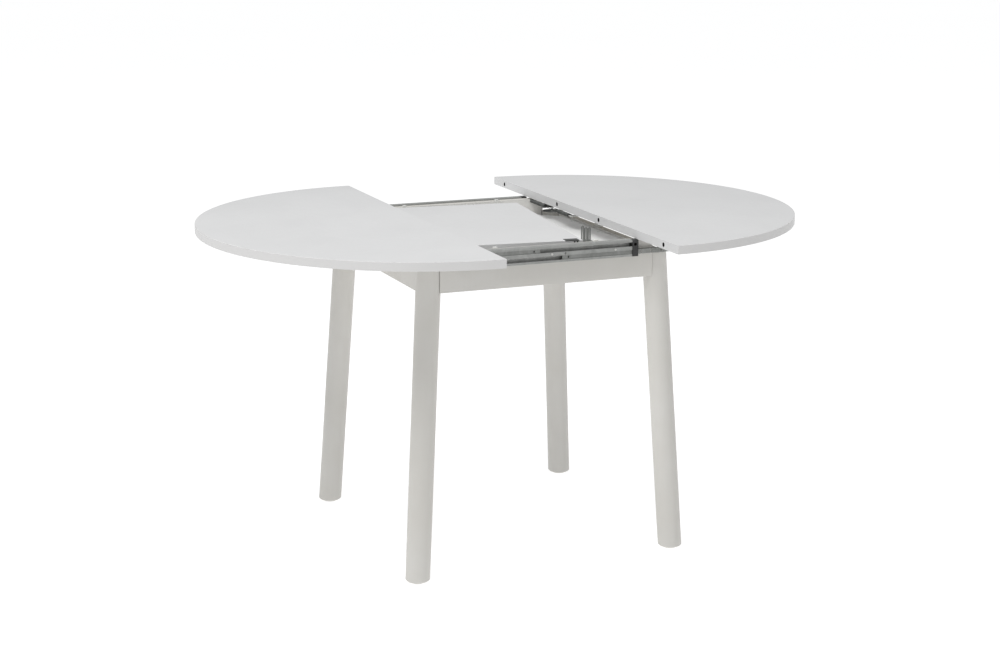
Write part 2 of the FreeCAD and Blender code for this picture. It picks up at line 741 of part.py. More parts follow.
def corner_bracket_screws():
    """Screws that hold the diagonal brackets to the aprons."""
    items = [screw(head, way, 15) for head, way in bracket_screw_places()]
    return [at_base(mirror(item, side, end)) for side in (-1, 1) for end in (-1, 1) for item in items]


def floor_screw_places():
    """Where screws hold the storage floor to its cleats, in the base's frame."""
    x = APRON_SIDE_OUTER - APRON_THICKNESS - CLEAT_SIZE[0] / 2
    return [Vector(side * x, y, FLOOR_TOP) for side in (-1, 1) for y in (-150.0, 0.0, 150.0)]


def storage_floor():
    """The board that closes the frame under the folded leaf."""
    half_x = APRON_SIDE_OUTER - APRON_THICKNESS - 0.3
    half_y = APRON_LONG_OUTER - APRON_THICKNESS - 0.3
    corner = FLOOR_CORNER
    points = [(half_x - corner, half_y), (half_x, half_y - corner),
              (half_x, corner - half_y), (half_x - corner, -half_y),
              (corner - half_x, -half_y), (-half_x, corner - half_y),
              (-half_x, half_y - corner), (corner - half_x, half_y)]
    outline = [Vector(x, y, FLOOR_TOP - FLOOR_THICKNESS) for x, y in points]
    board = Part.Face(Part.makePolygon(outline + [outline[0]])).extrude(Z_AXIS * FLOOR_THICKNESS)
    for top in floor_screw_places():
        board = board.cut(sunk_hole(top, 30))
    board = board.cut(hole(Vector(LEAF_PIVOT[0], LEAF_PIVOT[1], 600), Z_AXIS, 200, PIVOT_RADIUS))
    for head in keeper_screw_places():
        board = board.cut(hole(head - Z_AXIS * 10, Z_AXIS, 20, 1.5))
    return at_base(board)


def floor_cleat(side):
    """A strip on the side apron's inner face that holds the floor's edge."""
    width, length, height = CLEAT_SIZE
    outer = APRON_SIDE_OUTER - APRON_THICKNESS
    top = FLOOR_TOP - FLOOR_THICKNESS
    strip = box((outer - width, -length / 2, top - height), (outer, length / 2, top))
    for place in floor_screw_places():
        if place.x > 0:
            strip = strip.cut(sunk_hole(place, 30))
    return at_base(mirror(strip, side, 1))


def floor_screws():
    """Countersunk screws of the storage floor."""
    return [at_base(sunk_screw(top, 29)) for top in floor_screw_places()]


# Folded leaf, drawn square about its pivot and then turned

def at_leaf(shape):
    """Moves a shape from the leaf's own frame to its place."""
    turned = shape.rotated(ORIGIN, Z_AXIS, LEAF_TURN)
    return at_base(turned.translated(Vector(LEAF_PIVOT[0], LEAF_PIVOT[1], 0)))


def page_levels():
    """The lowest level of the lower and of the upper page."""
    return LEAF_BOTTOM, LEAF_BOTTOM + PAGE_THICKNESS + PAGE_GAP


def leaf_dowel_places():
    """Where dowels and their holes lie along a page, measured from its fold."""
    return [place - PAGE_LENGTH / 2 for place in DOWEL_PLACES]


def leaf_page(level, is_upper):
    """One page of the leaf, bored for its dowels and let in for its hinge plates."""
    half_x = PAGE_WIDTH / 2
    half_y = PAGE_LENGTH / 2
    page = box((-half_x, -half_y, level), (half_x, half_y, level + PAGE_THICKNESS))
    long_edges = [edge for edge in page.Edges if edge.BoundBox.ZLength < 0.01]
    page = page.makeChamfer(0.6, long_edges)
    middle = level + PAGE_THICKNESS / 2
    for y in leaf_dowel_places():
        page = page.cut(hole(Vector(-half_x, y, middle), X_AXIS, DOWEL_BURIED, DOWEL_RADIUS))
        page = page.cut(hole(Vector(half_x, y, middle), -X_AXIS, DOWEL_HOLE_DEPTH, DOWEL_RADIUS))
    for x in (-HINGE_PLACE, HINGE_PLACE):
        page = page.cut(hinge_recess(x, level, is_upper))
    if not is_upper:
        page = page.cut(hole(Vector(0, 0, level - 1), Z_AXIS, 13, PIVOT_RADIUS))
    return at_leaf(page)


def hinge_recess(x, level, is_upper):
    """The shallow recess in a page's outer face that a hinge plate lies in."""
    width, depth, _ = HINGE_PLATE
    room = 0.1
    face = level + PAGE_THICKNESS if is_upper else level
    inward = -HINGE_PLATE_SUNK if is_upper else HINGE_PLATE_SUNK
    return box((x - width / 2 - room, -PAGE_LENGTH / 2 - 1, face - inward),
               (x + width / 2 + room, depth - PAGE_LENGTH / 2 + room, face + inward))


def hinge_axis_height():
    """The fold's axis lies between the two pages."""
    return LEAF_BOTTOM + PAGE_THICKNESS + PAGE_GAP / 2


def knuckle_start(x):
    """Where a hinge's knuckles begin: they sit at the end of its plate nearer the page's side edge."""
    half = HINGE_PLATE[0] / 2
    if x > 0:
        return x + half - 4 * HINGE_KNUCKLE
    return x - half


def hinge_leaves(is_upper):
    """Two hinge plates, each with an arm round the fold to two of the hinge's four knuckles."""
    width, depth, thickness = HINGE_PLATE
    fold = -PAGE_LENGTH / 2
    axis_y = fold - HINGE_BARREL_OFFSET
    axis_z = hinge_axis_height()
    outside = LEAF_BOTTOM + 2 * PAGE_THICKNESS + PAGE_GAP + thickness - HINGE_PLATE_SUNK
    face = outside - thickness
    if not is_upper:
        outside = LEAF_BOTTOM
        face = outside + HINGE_PLATE_SUNK
    arm_back = fold - 0.3
    arm_front = arm_back - 1.8
    leaves = []
    for x in (-HINGE_PLACE, HINGE_PLACE):
        leaf = box((x - width / 2, fold, face), (x + width / 2, fold + depth, outside))
        for share in (0, 2) if is_upper else (1, 3):
            start = knuckle_start(x) + share * HINGE_KNUCKLE
            finish = start + HINGE_KNUCKLE - 0.3
            bridge = box((start, arm_front, face), (finish, fold + 1, outside))
            arm = box((start, arm_front, axis_z), (finish, arm_back, outside))
            knuckle = Part.makeCylinder(HINGE_BARREL_RADIUS, finish - start, Vector(start, axis_y, axis_z), X_AXIS)
            leaf = leaf.fuse(bridge).fuse(arm).fuse(knuckle)
        leaf = leaf.removeSplitter()
        leaf = leaf.cut(hole(Vector(x - width, axis_y, axis_z), X_AXIS, 2 * width, HINGE_PIN_RADIUS))
        if is_upper:
            page_side = box((x - width, fold, LEAF_BOTTOM + 1.5), (x + width, fold + 60, face))
        else:
            page_side = box((x - width, fold, face), (x + width, fold + 60, axis_z + 9))
        leaves.append(at_leaf(leaf.cut(page_side)))
    return leaves


def hinge_pins():
    """The pins of the two leaf hinges."""
    axis_y = -PAGE_LENGTH / 2 - HINGE_BARREL_OFFSET
    pins = []
    for x in (-HINGE_PLACE, HINGE_PLACE):
        start = Vector(knuckle_start(x) - 0.5, axis_y, hinge_axis_height())
        pins.append(at_leaf(Part.makeCylinder(HINGE_PIN_RADIUS, 4 * HINGE_KNUCKLE + 0.7, start, X_AXIS)))
    return pins


def leaf_dowels():
    """Dowels that stand out of the pages' left edges."""
    pegs = []
    for level in page_levels():
        for y in leaf_dowel_places():
            peg = dowel(DOWEL_BURIED - 1, DOWEL_PROUD, DOWEL_RADIUS)
            pegs.append(at_leaf(peg.translated(Vector(-PAGE_WIDTH / 2, y, level + PAGE_THICKNESS / 2))))
    return pegs


def leaf_pivot():
    """Bolt, spacer disc, washer and nut that the leaf turns on."""
    x, y = LEAF_PIVOT
    floor_under = FLOOR_TOP - FLOOR_THICKNESS
    bolt = Part.makeCylinder(PIVOT_RADIUS, LEAF_BOTTOM + 10 - (floor_under - 12),
                             Vector(x, y, floor_under - 12), Z_AXIS)
    disc = Part.makeCylinder(PIVOT_DISC_RADIUS, LEAF_BOTTOM - 0.3 - FLOOR_TOP, Vector(x, y, FLOOR_TOP), Z_AXIS)
    disc = disc.cut(hole(Vector(x, y, FLOOR_TOP - 1), Z_AXIS, 10, PIVOT_RADIUS))
    nut = hexagon(HANGER_NUT_RADIUS, HANGER_NUT_HEIGHT)
    nut = nut.translated(Vector(x, y, floor_under - HANGER_NUT_HEIGHT))
    nut = nut.cut(hole(Vector(x, y, floor_under - 10), Z_AXIS, 20, PIVOT_RADIUS))
    return [at_base(item) for item in (bolt, disc, nut)]


# Springs

def spring_loop(start, finish, level_turn):
    """A closed wire loop between two places on the springs' line, laid level or upright."""
    radius = SPRING_RADIUS - SPRING_WIRE
    wire = SPRING_WIRE / 2
    near = min(start, finish) + radius
    far = max(start, finish) - radius
    rails = []
    for sign in (-1, 1):
        rails.append(Part.makeCylinder(wire, far - near, Vector(sign * radius, near, 0), Y_AXIS))
    loop = rails[0].fuse(rails[1])
    for middle, low, high in ((near, 180, 360), (far, 0, 180)):
        bend = Part.makeTorus(radius, wire, Vector(0, 0, 0), Z_AXIS, -180, 180, high - low)
        bend = bend.rotated(ORIGIN, Z_AXIS, low)
        loop = loop.fuse(bend.translated(Vector(0, middle, 0)))
    loop = loop.removeSplitter()
    if level_turn:
        loop = loop.rotated(ORIGIN, Y_AXIS, level_turn)
    return loop.translated(Vector(SPRING_X, 0, SPRING_HEIGHT))


def spring(coil, loop_ends, turns):
    """A close-wound tension spring as a tube, with a wire loop at each end."""
    start, finish = coil
    place = Vector(SPRING_X, start, SPRING_HEIGHT)
    body = Part.makeCylinder(SPRING_RADIUS, finish - start, place, Y_AXIS)
    bore = Part.makeCylinder(SPRING_RADIUS - SPRING_WIRE, finish - start, place, Y_AXIS)
    body = body.cut(bore)
    overlap = SPRING_WIRE
    low, high = loop_ends
    body = body.fuse(spring_loop(low, start + overlap + SPRING_RADIUS, turns[0]))
    body = body.fuse(spring_loop(finish - overlap - SPRING_RADIUS, high, turns[1]))
    return body.removeSplitter()


def tension_springs():
    """The rear and the front spring; the loops where they meet stand at right angles."""
    reach = SPRING_RADIUS - SPRING_WIRE / 2
    eye_hold = spring_eye_place().y - 2 * SPRING_EYE_RADIUS + SPRING_WIRE / 2
    rear = spring(SPRING_REAR_COIL, (SPRING_MEETING - reach / 2, eye_hold), (0, 90))
    front = spring(SPRING_FRONT_COIL, (SPRING_BRACKET_Y - 3.5, SPRING_MEETING + reach / 2), (90, 90))
    return [at_base(rear), at_base(front)]


def spring_eye_place():
    """Where the screw eye enters the rear apron's inner face, in the base's frame."""
    return Vector(SPRING_X, APRON_LONG_OUTER - APRON_THICKNESS, SPRING_HEIGHT)


def spring_eye():
    """A screw eye in the rear apron that holds the rear spring's loop."""
    start = spring_eye_place()
    ring_radius = SPRING_EYE_RADIUS
    centre = start - Y_AXIS * (ring_radius + SPRING_EYE_WIRE)
    ring = Part.makeTorus(ring_radius, SPRING_EYE_WIRE - 0.1, centre, Z_AXIS)
    shank = Part.makeCylinder(SPRING_EYE_WIRE, SPRING_EYE_SHANK, start - Y_AXIS * 1.4, Y_AXIS)
    return at_base(ring.fuse(shank).removeSplitter())


def spring_bracket():
    """A bent strap on the right apron whose arm reaches in to the front spring's loop."""
    thickness = SPRING_BRACKET_THICKNESS
    half = SPRING_BRACKET_WIDTH / 2
    outer = APRON_SIDE_OUTER - 2
    inner = APRON_SIDE_OUTER - APRON_THICKNESS + 1
    top = SPRING_HEIGHT + thickness / 2
    y = SPRING_BRACKET_Y
    foot = box((inner, y - half, APRON_SIDE_TOP), (outer, y + half, APRON_SIDE_TOP + thickness))
    upright = box((inner, y - half, APRON_SIDE_TOP), (inner + thickness, y + half, top))
    arm = box((SPRING_X - 3.2, y - half, top - thickness), (inner + thickness, y + half, top))
    strap = foot.fuse(upright).fuse(arm).removeSplitter()
    eye = Part.makeCylinder(1.4, 10, Vector(SPRING_X, y - 4, top - 5), Z_AXIS)
    strap = strap.cut(eye)
    for head in spring_bracket_screw_places():
        strap = strap.cut(hole(head, -Z_AXIS, 5))
    return at_base(strap)


def spring_bracket_screw_places():
    """Where the strap is screwed to the right apron's top edge, in the base's frame."""
    x = APRON_SIDE_OUTER - APRON_THICKNESS / 2 + 1
    level = APRON_SIDE_TOP + SPRING_BRACKET_THICKNESS
    return [Vector(x, SPRING_BRACKET_Y - 3.8, level), Vector(x, SPRING_BRACKET_Y + 3.8, level)]


def spring_bracket_screws():
    """The two screws of the strap."""
    return [at_base(screw(head, -Z_AXIS, 14, SCREW_RADIUS, 3.0)) for head in spring_bracket_screw_places()]


# Bracket with loops

def keeper_screw_places():
    """Where the bracket is screwed to the floor, in the base's frame."""
    x, y = KEEPER_PLACE
    level = FLOOR_TOP + KEEPER_PLATE[2]
    return [Vector(x - 13, y + 5.5, level), Vector(x + 13, y + 5.5, level)]


def keeper_loop(x, top):
    """An upright flat link with a long slot, on the bracket's front edge."""
    base = FLOOR_TOP + KEEPER_PLATE[2] - 0.5
    y = KEEPER_PLACE[1] - KEEPER_PLATE[1] / 2
    thickness = 3.0
    outer_radius = KEEPER_LOOP_WIDTH / 2
    inner_radius = outer_radius - KEEPER_LOOP_WIRE
    outer = box((x - outer_radius, y, base), (x + outer_radius, y + thickness, top - outer_radius))
    outer = outer.fuse(Part.makeCylinder(outer_radius, thickness, Vector(x, y, top - outer_radius), Y_AXIS))
    slot_low = base + 6
    slot = box((x - inner_radius, y - 1, slot_low), (x + inner_radius, y + thickness + 1, top - outer_radius))
    slot = slot.fuse(Part.makeCylinder(inner_radius, thickness + 2,
                                       Vector(x, y - 1, top - outer_radius), Y_AXIS))
    return outer.cut(slot)


def leaf_keeper():
    """A steel foot on the storage floor with three upright loops."""
    x, y = KEEPER_PLACE
    width, depth, thickness = KEEPER_PLATE
    body = box((x - width / 2, y - depth / 2, FLOOR_TOP), (x + width / 2, y + depth / 2, FLOOR_TOP + thickness))
    for count, top in enumerate(KEEPER_LOOP_TOPS):
        loop_x = x + (count - 1) * KEEPER_PITCH
        body = body.fuse(keeper_loop(loop_x, top))
    body = body.removeSplitter()
    for head in keeper_screw_places():
        body = body.cut(hole(head - Z_AXIS * 10, Z_AXIS, 20, 1.5))
    return at_base(body)


def keeper_screws():
    """The bracket's two screws."""
    return [at_base(screw(head, -Z_AXIS, 10, 1.5, 2.6)) for head in keeper_screw_places()]


def write(name, shapes):
    """Writes one node as a STEP file: a single solid or a group of separate solids."""
    solids = []
    for shape in shapes:
        solids.extend(shape.Solids)
    result = solids[0] if len(solids) == 1 else Part.makeCompound(solids)
    result.exportStep(os.path.join("parts", name + ".step"))


def write_base():
    """Writes everything that stands still."""
    for end_name, end in ENDS.items():
        for side_name, side in SIDES.items():
            corner = end_name + "_" + side_name
            write("leg_" + corner, [leg(side, end)])
            write("corner_plate_" + corner, [corner_plate(side, end)])
            write("corner_bracket_" + corner, [corner_bracket(side, end)])
        write("apron_" + end_name, [long_apron(end)])
        write("slide_rail_" + end_name, [slide_rail(end)])
    for side_name, side in SIDES.items():
        write("apron_" + side_name, [side_apron(side)])
    hanger_bolts, hanger_nuts = corner_hardware()
    pivot_bolt, pivot_disc, pivot_nut = leaf_pivot()
    groups = {
        "leg_glides": leg_glides(),
        "hanger_bolts": hanger_bolts,
        "hanger_nuts": hanger_nuts,
        "corner_plate_screws": corner_plate_screws(),
        "corner_bracket_screws": corner_bracket_screws(),
        "storage_floor": [storage_floor()],
        "floor_cleats": [floor_cleat(side) for side in SIDES.values()],
        "floor_screws": floor_screws() + keeper_screws() + spring_bracket_screws(),
        "slide_screws": rail_screws() + end_stop_screws(),
        "slide_end_stops": end_stops(),
        "glide_pads": glide_pads(),
        "leaf_keeper": [leaf_keeper()],
        "leaf_pivot_bolt": [pivot_bolt, pivot_nut],
        "leaf_pivot_disc": [pivot_disc],
        "tension_springs": tension_springs(),
        "spring_anchors": [spring_eye(), spring_bracket()],
    }
    for name, shapes in groups.items():
        write(name, shapes)


def write_half(side_name, side):
    """Writes one half of the top with its runners, blocks and ball cages."""
    write(side_name + "_top_panel", [top_panel(side)])
    write(side_name + "_edge_band", [edge_band(side)])
    write(side_name + "_batten", [batten(side)])
    write(side_name + "_runner_blocks", runner_blocks(side))
    write(side_name + "_panel_screws", panel_screws(side))
    for end_name, end in ENDS.items():
        write(side_name + "_runner_" + end_name, [runner(side, end)])
    write(side_name + "_ball_cages", ball_cages(side))
    write(side_name + "_balls", balls(side))


def write_leaf():
    """Writes the folded leaf."""
    lower, upper = page_levels()
    write("leaf_page_lower", [leaf_page(lower, False)])
    write("leaf_page_upper", [leaf_page(upper, True)])
    write("leaf_hinges_upper", hinge_leaves(True))
    write("leaf_hinges_lower", hinge_leaves(False))
    write("leaf_hinge_pins", hinge_pins())
    write("leaf_dowels", leaf_dowels())


os.makedirs("parts", exist_ok=True)
write_base()
for half_name, half_side in SIDES.items():
    write_half(half_name, half_side)
write("left_dowels", left_dowels())
write("right_dowel_bushes", right_bushes())
write_leaf()
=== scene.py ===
import json
import math

import bpy
from mathutils import Matrix, Vector


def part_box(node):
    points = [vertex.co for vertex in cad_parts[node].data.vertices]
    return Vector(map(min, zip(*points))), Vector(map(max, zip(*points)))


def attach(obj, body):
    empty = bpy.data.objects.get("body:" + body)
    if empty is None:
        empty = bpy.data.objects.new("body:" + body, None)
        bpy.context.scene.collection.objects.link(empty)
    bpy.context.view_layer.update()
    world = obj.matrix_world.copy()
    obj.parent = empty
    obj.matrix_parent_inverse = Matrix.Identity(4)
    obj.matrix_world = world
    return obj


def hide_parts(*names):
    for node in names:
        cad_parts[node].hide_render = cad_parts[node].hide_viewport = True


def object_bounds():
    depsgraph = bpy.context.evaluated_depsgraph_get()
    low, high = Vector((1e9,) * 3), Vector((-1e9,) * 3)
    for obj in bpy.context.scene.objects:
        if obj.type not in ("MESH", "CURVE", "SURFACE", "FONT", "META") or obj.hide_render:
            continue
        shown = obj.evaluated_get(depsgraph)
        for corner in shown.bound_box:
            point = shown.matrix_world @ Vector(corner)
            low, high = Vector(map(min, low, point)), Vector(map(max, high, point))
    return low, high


# The looks of the extendable dining table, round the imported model. Metres, +Z up.

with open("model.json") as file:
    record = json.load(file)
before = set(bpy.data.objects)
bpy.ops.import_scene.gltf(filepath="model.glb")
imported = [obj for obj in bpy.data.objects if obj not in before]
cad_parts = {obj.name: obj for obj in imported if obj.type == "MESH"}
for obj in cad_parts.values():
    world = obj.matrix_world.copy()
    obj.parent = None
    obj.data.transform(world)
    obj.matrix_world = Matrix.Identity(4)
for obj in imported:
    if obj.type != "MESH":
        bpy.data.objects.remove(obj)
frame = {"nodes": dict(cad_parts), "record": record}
cad_low, cad_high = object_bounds()

# Camera: where it stands, and how it is turned from level and straight ahead
CAMERA_PLACE = (-1.72857, -4.09823, 1.51956)
CAMERA_YAW = 0.39955
CAMERA_PITCH = 0.234104
CAMERA_ROLL = 0.0051355
CAMERA_LENS = 71.09
SENSOR_WIDTH = 36.0

# Studio
FLOOR_SIZE = 60.0
FLOOR_GLOW = 0.78          # the floor's own light, which keeps it white
WORLD_COLOUR = (0.98, 0.99, 1.0, 1.0)
WORLD_STRENGTH = 0.40

# Edge rounding added to the sharp edges of the frame's boards and blocks
BOARD_EDGE = 0.0008
SHARP_ANGLE = math.radians(40)
BOARD_NODES = ("apron_front", "apron_rear", "apron_left", "apron_right", "left_batten", "right_batten",
               "left_runner_blocks", "right_runner_blocks", "storage_floor", "floor_cleats")

# Nodes whose finish differs from the plain one of their slot: the frame boards with painted light on their
# inner faces, the rails with painted light on their webs
SPECIAL_FINISHES = {
    "apron_front": "frame_paint_painted_light",
    "apron_rear": "frame_paint_painted_light",
    "apron_left": "frame_paint_painted_light_bare_top",
    "apron_right": "frame_paint_painted_light_bare_top",
    "slide_rail_front": "zinc_rail_painted_light",
    "slide_rail_rear": "zinc_rail_painted_light",
}

# Paint on the legs and the frame
CREAM = (0.60, 0.588, 0.56)
CREAM_SHADE = (0.565, 0.55, 0.515)
# Painted light: a paler colour for the frame boards' inner faces, standing in for the light in the bay under
# the top
CREAM_INNER_PAINTED_LIGHT = (0.88, 0.87, 0.84)

# Tension springs: wire, and where the two coils lie along Y
SPRING_WIRE = 0.0013
SPRING_PITCH = 0.00155
SPRING_STEPS = 14          # points per turn of the coil
SPRING_LOOP_STEPS = 12     # spans round the bend of an end loop
REAR_COIL = (0.184, 0.266)
FRONT_COIL = (0.044, 0.106)
SPRING_MEETING = 0.145


# Node helpers

def new_material(name):
    """A material with an empty tree but for its shader; returns the material, its tree and the shader."""
    material = bpy.data.materials.new(name)
    material.use_nodes = True
    tree = material.node_tree
    shader = tree.nodes["Principled BSDF"]
    return material, tree, shader


def object_coordinates(tree, stretch=(1.0, 1.0, 1.0)):
    """Places on the object in metres, stretched along its axes."""
    coordinates = tree.nodes.new("ShaderNodeTexCoord")
    mapping = tree.nodes.new("ShaderNodeMapping")
    mapping.inputs["Scale"].default_value = stretch
    tree.links.new(coordinates.outputs["Object"], mapping.inputs["Vector"])
    return mapping.outputs["Vector"]


def noise(tree, vector, scale, detail=3.0, roughness=0.5, distortion=0.0):
    """A noise texture's value."""
    node = tree.nodes.new("ShaderNodeTexNoise")
    node.inputs["Scale"].default_value = scale
    node.inputs["Detail"].default_value = detail
    node.inputs["Roughness"].default_value = roughness
    node.inputs["Distortion"].default_value = distortion
    tree.links.new(vector, node.inputs["Vector"])
    return node.outputs["Fac"]


def spread(tree, value, low, high, start=0.0, end=1.0):
    """Maps a value from low..high to start..end and holds it there."""
    node = tree.nodes.new("ShaderNodeMapRange")
    node.inputs["From Min"].default_value = low
    node.inputs["From Max"].default_value = high
    node.inputs["To Min"].default_value = start
    node.inputs["To Max"].default_value = end
    tree.links.new(value, node.inputs["Value"])
    return node.outputs["Result"]


def combine(tree, operation, first, second):
    """One sum of two values; the second may be a plain number."""
    node = tree.nodes.new("ShaderNodeMath")
    node.operation = operation
    node.use_clamp = True
    tree.links.new(first, node.inputs[0])
    if isinstance(second, (int, float)):
        node.inputs[1].default_value = second
    else:
        tree.links.new(second, node.inputs[1])
    return node.outputs["Value"]


def colour_mix(tree, factor, first, second):
    """A colour between two others; each may be a plain colour or another node's output."""
    node = tree.nodes.new("ShaderNodeMix")
    node.data_type = "RGBA"
    tree.links.new(factor, node.inputs[0])
    for socket, colour in ((node.inputs[6], first), (node.inputs[7], second)):
        if isinstance(colour, tuple):
            socket.default_value = (*colour, 1.0)
        else:
            tree.links.new(colour, socket)
    return node.outputs[2]


def bump(tree, shader, height, depth):
    """Raises the surface by depth metres where height is 1."""
    node = tree.nodes.new("ShaderNodeBump")
    node.inputs["Strength"].default_value = 1.0
    node.inputs["Distance"].default_value = depth
    tree.links.new(height, node.inputs["Height"])
    tree.links.new(node.outputs["Normal"], shader.inputs["Normal"])


# Mask for edge wear and for painted edge highlights
def wear_and_highlight_edges(tree, radius, low=0.80, high=0.985):
    """1 along sharp edges, 0 on faces."""
    rounded = tree.nodes.new("ShaderNodeBevel")
    rounded.samples = 6
    rounded.inputs["Radius"].default_value = radius
    geometry = tree.nodes.new("ShaderNodeNewGeometry")
    dot = tree.nodes.new("ShaderNodeVectorMath")
    dot.operation = "DOT_PRODUCT"
    tree.links.new(rounded.outputs["Normal"], dot.inputs[0])
    tree.links.new(geometry.outputs["Normal"], dot.inputs[1])
    return spread(tree, dot.outputs["Value"], low, high, 1.0, 0.0)


def upward(tree, low=0.7, high=0.9):
    """1 on faces that look up, in the object's own axes."""
    coordinates = tree.nodes.new("ShaderNodeTexCoord")
    parts = tree.nodes.new("ShaderNodeSeparateXYZ")
    tree.links.new(coordinates.outputs["Normal"], parts.inputs["Vector"])
    return spread(tree, parts.outputs["Z"], low, high)


def inward(tree):
    """1 on faces that look to the middle of the table, 0 on the others."""
    coordinates = tree.nodes.new("ShaderNodeTexCoord")
    dot = tree.nodes.new("ShaderNodeVectorMath")
    dot.operation = "DOT_PRODUCT"
    tree.links.new(object_coordinates(tree, (1.0, 1.0, 0.0)), dot.inputs[0])
    tree.links.new(coordinates.outputs["Normal"], dot.inputs[1])
    return spread(tree, dot.outputs["Value"], -0.08, -0.04, 1.0, 0.0)


# Materials

def coated_board(name, light, dark, rough, edge_colour, peel=0.00002, peel_scale=420.0):
    """Paint or laminate on board: faint mottling, an orange-peel skin, and sharp edges tinted toward the edge
    colour: wear, and where that colour is lighter also a painted highlight.
    """
    material, tree, shader = new_material(name)
    place = object_coordinates(tree)
    cloud = noise(tree, place, 3.5, 4.0, 0.55)
    speck = noise(tree, place, 260.0, 2.0, 0.6)
    tone = colour_mix(tree, spread(tree, cloud, 0.35, 0.65), light, dark)
    specks = spread(tree, speck, 0.30, 0.78, 0.0, 0.35)
    tone = colour_mix(tree, specks, tone, dark)
    # Edge tint: wear, and where the edge colour is lighter a painted highlight along the sharp edges
    tone = colour_mix(tree, combine(tree, "MULTIPLY", wear_and_highlight_edges(tree, 0.0011), 0.6), tone, edge_colour)
    tree.links.new(tone, shader.inputs["Base Color"])
    smear = noise(tree, place, 14.0, 5.0, 0.65, 0.6)
    tree.links.new(spread(tree, smear, 0.3, 0.7, rough - 0.05, rough + 0.07), shader.inputs["Roughness"])
    bump(tree, shader, noise(tree, place, peel_scale, 3.0, 0.55), peel)
    shader.inputs["Specular IOR Level"].default_value = 0.42
    return material


def painted_wood(name, light, dark, inner=None, bare_top=False):
    """Satin paint on wood with faint grain and edges lightened, partly wear and partly a painted highlight. A
    frame board's inner face has a paler colour, painted light in place of the light in the bay under the top,
    and its top may be bare.
    """
    material, tree, shader = new_material(name)
    place = object_coordinates(tree)
    grain_place = object_coordinates(tree, (60.0, 60.0, 4.0))
    cloud = noise(tree, place, 5.0, 4.0, 0.6)
    tone = colour_mix(tree, spread(tree, cloud, 0.33, 0.67), light, dark)
    grain = noise(tree, grain_place, 2.2, 5.0, 0.6, 0.4)
    tone = colour_mix(tree, spread(tree, grain, 0.42, 0.75, 0.0, 0.30), tone, dark)
    # Sharp edges a little lighter: partly wear, partly a painted highlight
    edge_wear_and_highlight = tuple(min(1.0, 1.12 * channel) for channel in light)
    tone = colour_mix(tree, combine(tree, "MULTIPLY", wear_and_highlight_edges(tree, 0.0014), 0.5), tone, edge_wear_and_highlight)
    rough = spread(tree, noise(tree, place, 22.0, 5.0, 0.6, 0.4), 0.3, 0.7, 0.36, 0.50)
    if inner:
        # Painted light: faces that look into the table take the paler inner colour
        tone = colour_mix(tree, inward(tree), tone, colour_mix(tree, cloud, inner, light))
    if bare_top:
        wood, wood_rough = wood_tone(tree, (0.46, 0.435, 0.38), (0.41, 0.385, 0.33), (60.0, 7.0, 60.0))
        mask = upward(tree)
        tone = colour_mix(tree, mask, tone, wood)
        rough = combine(tree, "MAXIMUM", rough, combine(tree, "MULTIPLY", mask, wood_rough))
    tree.links.new(tone, shader.inputs["Base Color"])
    tree.links.new(rough, shader.inputs["Roughness"])
    skin = noise(tree, place, 300.0, 3.0, 0.55)
    fibres = combine(tree, "MULTIPLY", grain, 0.55)
    height = combine(tree, "ADD", combine(tree, "MULTIPLY", skin, 0.45), fibres)
    bump(tree, shader, height, 0.00006)
    shader.inputs["Specular IOR Level"].default_value = 0.42
    return material


def wood_tone(tree, light, dark, stretch):
    """Colour and roughness of bare wood, its grain drawn out along the axis with the smallest stretch."""
    place = object_coordinates(tree, stretch)
    rings = noise(tree, place, 1.6, 6.0, 0.62, 1.1)
    fibres = noise(tree, place, 14.0, 4.0, 0.7)
    tone = colour_mix(tree, spread(tree, rings, 0.35, 0.65), light, dark)
    deep = tuple(0.72 * channel for channel in dark)
    tone = colour_mix(tree, spread(tree, fibres, 0.52, 0.78, 0.0, 0.55), tone, deep)
    return tone, spread(tree, fibres, 0.3, 0.7, 0.60, 0.80)


def bare_wood(name, light, dark, stretch):
    """Unpainted wood with its grain along one axis."""
    material, tree, shader = new_material(name)
    tone, rough = wood_tone(tree, light, dark, stretch)
    # Edges paler: partly wear, partly a painted highlight
    pale = tuple(min(1.0, 1.25 * channel) for channel in light)
    tone = colour_mix(tree, combine(tree, "MULTIPLY", wear_and_highlight_edges(tree, 0.001), 0.5), tone, pale)
    tree.links.new(tone, shader.inputs["Base Color"])
    tree.links.new(rough, shader.inputs["Roughness"])
    bump(tree, shader, noise(tree, object_coordinates(tree, stretch), 14.0, 5.0, 0.7), 0.0002)
    shader.inputs["Specular IOR Level"].default_value = 0.3
    return material


def recessed(tree, half_width):
    """1 on faces that look out along Y from less than half_width, such as the web inside a rail."""
    coordinates = tree.nodes.new("ShaderNodeTexCoord")
    dot = tree.nodes.new("ShaderNodeVectorMath")
    dot.operation = "DOT_PRODUCT"
    tree.links.new(object_coordinates(tree, (0.0, 1.0, 0.0)), dot.inputs[0])
    tree.links.new(coordinates.outputs["Normal"], dot.inputs[1])
    outward = spread(tree, dot.outputs["Value"], 0.05, 0.10)
    inside = spread(tree, dot.outputs["Value"], half_width - 0.001, half_width, 1.0, 0.0)
    return combine(tree, "MULTIPLY", outward, inside)


